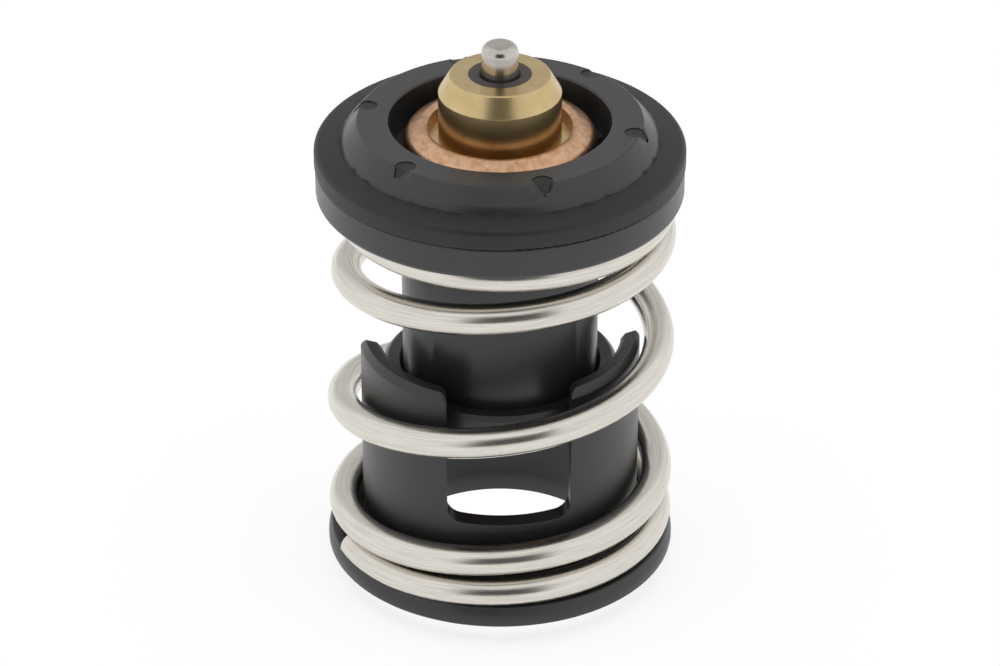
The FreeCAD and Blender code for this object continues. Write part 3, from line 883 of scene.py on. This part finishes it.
    def sweep(self, bm: BMesh) -> None:
        """Extrude the outline round the axis, leaving the slots open above their feet."""
        columns = self.columns()
        spots = self.profile(columns[0])
        around = [(index, (index + 1) % len(spots)) for index in range(len(spots))]
        upper = list(range(self.outer_foot, self.inner_foot + 1))
        below = [pair for pair in around if not set(pair) <= set(upper)]
        below.append((self.outer_foot, self.inner_foot))
        ring = {index: bm.verts.new(columns[0].place(*spot)) for index, spot in enumerate(spots)}
        for column, following in zip(columns, columns[1:]):
            if column.side and column.open_after:
                bm.faces.new([ring[index] for index in upper])
            edges = []
            for one, other in below if column.open_after else around:
                pair = (ring[one], ring[other])
                edges.append(bm.edges.get(pair) or bm.edges.new(pair))
            ring = self.extrude_ring(bm, ring, edges, following)
            if column.open_after and following.side:
                spots = self.profile(following)
                for index in upper[1:-1]:
                    ring[index] = bm.verts.new(following.place(*spots[index]))
                bm.faces.new([ring[index] for index in reversed(upper)])
        bmesh.ops.remove_doubles(bm, verts=bm.verts[:], dist=WELD)

    def extrude_ring(
        self, bm: BMesh, ring: dict[int, BMVert],
        edges: list[BMEdge], following: Column,
    ) -> dict[int, BMVert]:
        """Extrude part of a section to the next one.

        Args:
            bm: The mesh.
            ring: The section's vertices by their place in the outline.
            edges: The edges to extrude.
            following: The next section.

        Returns:
            The next section's vertices by their place in the outline.
        """
        grown = bmesh.ops.extrude_edge_only(bm, edges=edges)["geom"]
        new = {item for item in grown if isinstance(item, BMVert)}
        spots = self.profile(following)
        after = {}
        for index, vert in ring.items():
            for edge in vert.link_edges:
                if edge.other_vert(vert) in new:
                    after[index] = edge.other_vert(vert)
                    after[index].co = following.place(*spots[index])
        return after

    def build(self) -> None:
        """Sweep the wall, round the edges and add the guide collar."""
        bm = bmesh.new()
        self.sweep(bm)
        bmesh.ops.recalc_face_normals(bm, faces=bm.faces[:])
        above = (self.flange_top + self.bevel_above) * MM
        lands = (self.collar_rim + self.bevel_beyond) * MM
        sharp = [
            edge for edge in bm.edges
            if min(vert.co.z for vert in edge.verts) > above
            and max(vert.co.xy.length for vert in edge.verts) > lands
            and edge.is_manifold and edge.is_convex
            and edge.calc_face_angle() > math.radians(self.bevel_degrees)
        ]
        bevel(bm, sharp, self.fine_round, self.fine_facets)
        rim = self.flange_radius - self.flange_slope
        for radius, height, offset in (
            (self.flange_radius, self.spigot_length, self.edge_round),
            (self.spigot_radius, 0.0, self.edge_round),
            (self.flange_radius, self.flange_top - self.flange_fall, self.edge_round),
            (rim, self.flange_top, self.edge_round / 2.0),
        ):
            round_ring(bm, radius, height, offset)
        self.add_collar(bm)
        bmesh.ops.recalc_face_normals(bm, faces=bm.faces[:])
        piece = finish_piece("slotted_cage", bm, CAGE_PLASTIC.make(), Body.CAGE, SHARP_DEGREES)
        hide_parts("cage")

    def add_collar(self, bm: BMesh) -> None:
        """Spin the guide collar into the wall's lands."""
        inner = self.collar_bore
        bevelled = inner + self.fine_bevel
        start = (inner, self.collar_foot + self.fine_bevel)
        turn_outline(bm, [
            start, (bevelled, self.collar_foot), (self.collar_rim, self.collar_foot),
            (self.collar_rim, self.collar_top - self.collar_bevel),
            (self.collar_rim - self.collar_bevel, self.collar_top),
            (bevelled, self.collar_top), (inner, self.collar_top - self.fine_bevel), start])


@dataclass
class MouldedRim:
    """Disc with its tube, and the rubber seal moulded on its rim, from the CAD shapes.

    The parting line between plate and seal and the six shield-shaped moulding gates are
    finer than in the CAD shapes. Sizes are in millimetres.

    Attributes:
        parting: Height of the CAD parting line, which parting_rise lifts.
        parting_band: How near to it its vertices lie. They lie beyond parting_radius.
        gate_ring: Distance of the gates' middles from the axis.
        gate_drawn: Radius of a CAD gate, to within gate_match.
        gate_radius: Radius of the shield's round side. That of its point is gate_tip.
        gate_reach: Distance of the point's middle from the gate's.
        gate_sink: How far the seal's face in a gate lies below the disc's.
        edge_drop: Vertices within this of the gate's face follow the disc's slope.
        disc_top: Height of the disc's flat face, out to cone_radius.
        cone_fall: Fall of the cone over its width.
    """

    parting: float = 49.8
    parting_rise: float = 0.35
    parting_band: float = 0.3
    parting_radius: float = 16.9
    gates: int = 6
    gate_degrees: float = 13.5
    gate_ring: float = 14.7
    gate_drawn: float = 1.18
    gate_match: float = 0.02
    gate_radius: float = 1.1
    gate_tip: float = 0.25
    gate_reach: float = 1.43
    gate_foot: float = 50.7
    gate_sink: float = 0.18
    edge_drop: float = 0.15
    disc_top: float = 55.2
    cone_radius: float = 15.4
    cone_fall: float = 2.3 / 1.95
    flat_degrees: float = 0.3

    def outline(self, angle: float) -> float:
        """Distance from a gate's middle to its edge, by angle from the outward direction."""
        turned = abs(angle)
        side = math.acos((self.gate_radius - self.gate_tip) / self.gate_reach)
        if turned >= side:
            return self.gate_radius
        end = math.atan2(
            self.gate_tip * math.sin(side), self.gate_reach + self.gate_tip * math.cos(side))
        if turned >= end:
            return self.gate_radius / math.cos(side - turned)
        across = self.gate_reach * math.sin(turned)
        return self.gate_reach * math.cos(turned) + math.sqrt(self.gate_tip ** 2 - across ** 2)

    def face_height(self, radius: float) -> float:
        """Height of the disc's top face at a radius."""
        return self.disc_top - max(0.0, radius - self.cone_radius) * self.cone_fall

    def shape_gate(self, bm: BMesh, centre: Vector, sink: float) -> None:
        """Draw one round gate out to a shield that points outwards.

        Args:
            bm: The copy of the CAD mesh.
            centre: The gate's middle, in metres, level with the base.
            sink: How far its top lies below the disc's face, millimetres.
        """
        outward = centre.normalized()
        across = Vector((-outward.y, outward.x, 0.0))
        for vert in bm.verts:
            spoke = Vector((vert.co.x, vert.co.y, 0.0)) - centre
            away = abs(spoke.length / MM - self.gate_drawn)
            if away > self.gate_match or vert.co.z < self.gate_foot * MM:
                continue
            angle = math.atan2(spoke.dot(across), spoke.dot(outward))
            reach = self.outline(angle) * MM
            below = self.face_height(vert.co.xy.length / MM) - vert.co.z / MM
            place = centre + (outward * math.cos(angle) + across * math.sin(angle)) * reach
            height = vert.co.z
            if below < sink + self.edge_drop:
                height = (self.face_height(place.length / MM) - below + sink / 2.0) * MM
            vert.co = Vector((place.x, place.y, height))

    def refine(self, node: str, sink: float) -> BMesh:
        """Copy a node's mesh, raise the parting line and shape the gates.

        Args:
            node: Name of the CAD node.
            sink: How far its faces at the gates lie below the disc's face, millimetres.

        Returns:
            The refined mesh.
        """
        bm = bmesh.new()
        bm.from_mesh(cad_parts[node].data)
        bmesh.ops.remove_doubles(bm, verts=bm.verts[:], dist=WELD)
        for vert in bm.verts:
            near = abs(vert.co.z / MM - self.parting) < self.parting_band
            if near and vert.co.xy.length / MM > self.parting_radius:
                vert.co.z += self.parting_rise * MM
        for number in range(self.gates):
            angle = math.radians(self.gate_degrees + 360.0 * number / self.gates)
            centre = Vector((math.sin(angle), -math.cos(angle), 0.0)) * self.gate_ring * MM
            self.shape_gate(bm, centre, sink)
        bmesh.ops.dissolve_limit(
            bm, angle_limit=math.radians(self.flat_degrees), verts=bm.verts[:],
            edges=bm.edges[:])
        return bm

    def build(self) -> None:
        """Make the disc and the seal, both riding on the valve."""
        for node, slot, finish, sink in (
            ("valve_body", "valve_plastic", VALVE_PLASTIC, 0.0),
            ("rim_seal", "seal_rubber", SEAL_RUBBER, self.gate_sink),
        ):
            bm = self.refine(node, sink)
            piece = finish_piece(
                node + "_moulding", bm, finish.make(), Body.VALVE, SHARP_DEGREES)
            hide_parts(node)


@dataclass
class Studio:
    """Light table under a white tent that is open, and so dark, round the camera.

    Attributes:
        tent: Brightness of the cloth. That of the opening is opening.
        opening_degrees: Start and end of the opening's soft side, from the camera's direction.
        roof: Start and end of the roof's soft edge, as the height of a unit direction.
        backdrop: Brightness of the cloth behind the object, as a share of the rest.
        pool_glow: Light from the table under the object, out to pool_radius.
        pool_end: Where that has faded to table_glow, against the radius.
    """

    focal_px: float = 3900.0
    image_width_px: float = 1000.0
    distance: float = 432.35 * MM
    target_height: float = 28.5 * MM
    azimuth_degrees: float = -4.0
    elevation_degrees: float = 30.5
    sensor_mm: float = 36.0
    tent: float = 1.0
    opening: float = 0.08
    opening_degrees: tuple[float, float] = (18.0, 37.0)
    roof: tuple[float, float] = (0.62, 0.82)
    backdrop: float = 0.68
    backdrop_degrees: tuple[float, float] = (125.0, 160.0)
    table_half: float = 1.5
    table_drop: float = 0.02 * MM
    table_colour: str = "8c8c8c"
    table_roughness: float = 0.9
    table_glow: float = 0.8
    pool_glow: float = 1.0
    pool_radius: float = 15.0 * MM
    pool_end: float = 1.2

    def build(self) -> None:
        """Set up floor, tent and camera."""
        self.add_floor()
        self.add_tent()
        self.add_camera()
        LOG.info("studio built")

    def add_floor(self) -> None:
        """Plain white light table, which gives the photograph's shadowless ground."""
        bm = bmesh.new()
        bmesh.ops.create_grid(bm, x_segments=1, y_segments=1, size=self.table_half)
        mesh = bpy.data.meshes.new("floor")
        bm.to_mesh(mesh)
        bm.free()
        material = bpy.data.materials.new("opal acrylic light table")
        material.use_nodes = True
        tree = material.node_tree
        shader = tree.nodes["Principled BSDF"]
        for name, value in (
            ("Base Color", srgb(self.table_colour)), ("Roughness", self.table_roughness),
            ("Specular IOR Level", 0.0), ("Emission Color", srgb("ffffff")),
        ):
            shader.inputs[name].default_value = value
        reach = add_node(tree, "VectorMath", settings={"operation": "LENGTH"}, inputs={
            0: add_node(tree, "TexCoord").outputs["Object"]})
        glow = add_node(tree, "MapRange", {
            "Value": reach.outputs["Value"], "From Min": self.pool_radius,
            "From Max": self.pool_radius * self.pool_end, "To Min": self.pool_glow,
            "To Max": self.table_glow})
        tree.links.new(glow.outputs["Result"], shader.inputs["Emission Strength"])
        mesh.materials.append(material)
        floor = bpy.data.objects.new("floor", mesh)
        floor.location.z = -self.table_drop
        bpy.context.scene.collection.objects.link(floor)

    @staticmethod
    def fade(
        tree: NodeTree, value: NodeSocket, span: tuple[float, float],
        levels: tuple[float, float],
    ) -> NodeSocket:
        """Level that changes softly over a span of the value that it follows."""
        node = add_node(tree, "MapRange", settings={"interpolation_type": "SMOOTHSTEP"}, inputs={
            "Value": value, "From Min": span[0], "From Max": span[1],
            "To Min": levels[0], "To Max": levels[1]})
        return node.outputs["Result"]

    def add_tent(self) -> None:
        """White tent with an upright gap in it where the camera stands."""
        world = bpy.data.worlds.new("light tent")
        bpy.context.scene.world = world
        world.use_nodes = True
        tree = world.node_tree
        azimuth = math.radians(self.azimuth_degrees)
        toward = add_node(tree, "TexCoord").outputs["Generated"]
        turned = add_node(tree, "Mapping", settings={"vector_type": "POINT"}, inputs={
            "Vector": toward, "Rotation": (0.0, 0.0, -azimuth)})
        split = add_node(tree, "SeparateXYZ", {"Vector": turned.outputs["Vector"]})
        front = add_node(tree, "Math", settings={"operation": "MULTIPLY"}, inputs={
            0: split.outputs["Y"], 1: -1.0})
        aside = add_node(tree, "Math", settings={"operation": "ARCTAN2"}, inputs={
            0: split.outputs["X"], 1: front.outputs[0]})
        angle = add_node(tree, "Math", settings={"operation": "ABSOLUTE"}, inputs={
            0: aside.outputs[0]}).outputs[0]
        sides = tuple(map(math.radians, self.opening_degrees))
        back = tuple(map(math.radians, self.backdrop_degrees))
        lit = add_node(tree, "Math", settings={"operation": "MAXIMUM"}, inputs={
            0: self.fade(tree, angle, sides, (0.0, 1.0)),
            1: self.fade(tree, split.outputs["Z"], self.roof, (0.0, 1.0))})
        light = add_node(tree, "MapRange", {
            "Value": lit.outputs[0], "To Min": self.opening, "To Max": self.tent})
        strength = add_node(tree, "Math", settings={"operation": "MULTIPLY"}, inputs={
            0: light.outputs["Result"],
            1: self.fade(tree, angle, back, (1.0, self.backdrop))})
        cloth = tree.nodes["Background"]
        tree.links.new(strength.outputs[0], cloth.inputs["Strength"])
        cloth.inputs["Color"].default_value = srgb("ffffff")

    def add_camera(self) -> None:
        """Camera at the photograph's place, found from ellipses of known circles."""
        data = bpy.data.cameras.new("camera")
        data.sensor_width = self.sensor_mm
        data.lens = self.focal_px / self.image_width_px * self.sensor_mm
        camera = bpy.data.objects.new("camera", data)
        azimuth = math.radians(self.azimuth_degrees)
        elevation = math.radians(self.elevation_degrees)
        back = Vector((
            math.sin(azimuth) * math.cos(elevation),
            -math.cos(azimuth) * math.cos(elevation),
            math.sin(elevation)))
        target = Vector((0.0, 0.0, self.target_height))
        camera.location = target + back * self.distance
        camera.rotation_euler = (-back).to_track_quat("-Z", "Y").to_euler()
        bpy.context.scene.collection.objects.link(camera)
        bpy.context.scene.camera = camera


def main() -> None:
    """Build and dress every piece."""
    logging.basicConfig(level=logging.INFO, format="%(name)s: %(message)s")
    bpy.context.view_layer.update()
    CadPieces().dress()
    SlottedCage().build()
    MouldedRim().build()
    CrimpedCup().build()
    CoilSpring().build()
    Studio().build()
    bpy.context.scene.view_settings.view_transform = "Standard"
    LOG.info("sizes written")


if __name__ == "__main__":
    main()
